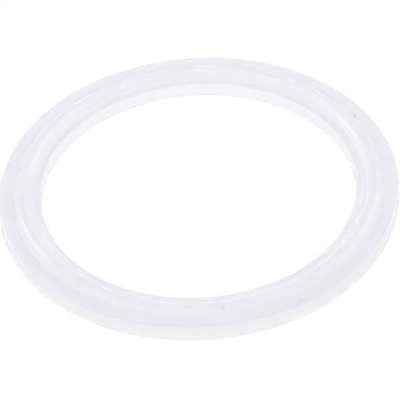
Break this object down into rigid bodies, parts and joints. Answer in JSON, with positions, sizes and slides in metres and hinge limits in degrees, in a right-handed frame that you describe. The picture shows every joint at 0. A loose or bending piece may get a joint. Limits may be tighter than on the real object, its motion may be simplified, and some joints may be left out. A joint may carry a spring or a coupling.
{
  "type": "clamp gasket",
  "caption": "Flat round silicone sealing ring with a rounded bead on each face, which seals the joint of a clamped sanitary pipe union.",
  "frame": {"origin": "centre of the bore at half thickness", "axes": "+Z along the bore's axis; the two faces are alike, and X and Y lie in the middle plane"},
  "size_m": [0.064, 0.064, 0.0048],
  "materials": {
    "silicone": "satin, milky translucent silicone rubber"
  },
  "bodies": {
    "root": {"sealing_ring": "silicone"}
  },
  "joints": []
}
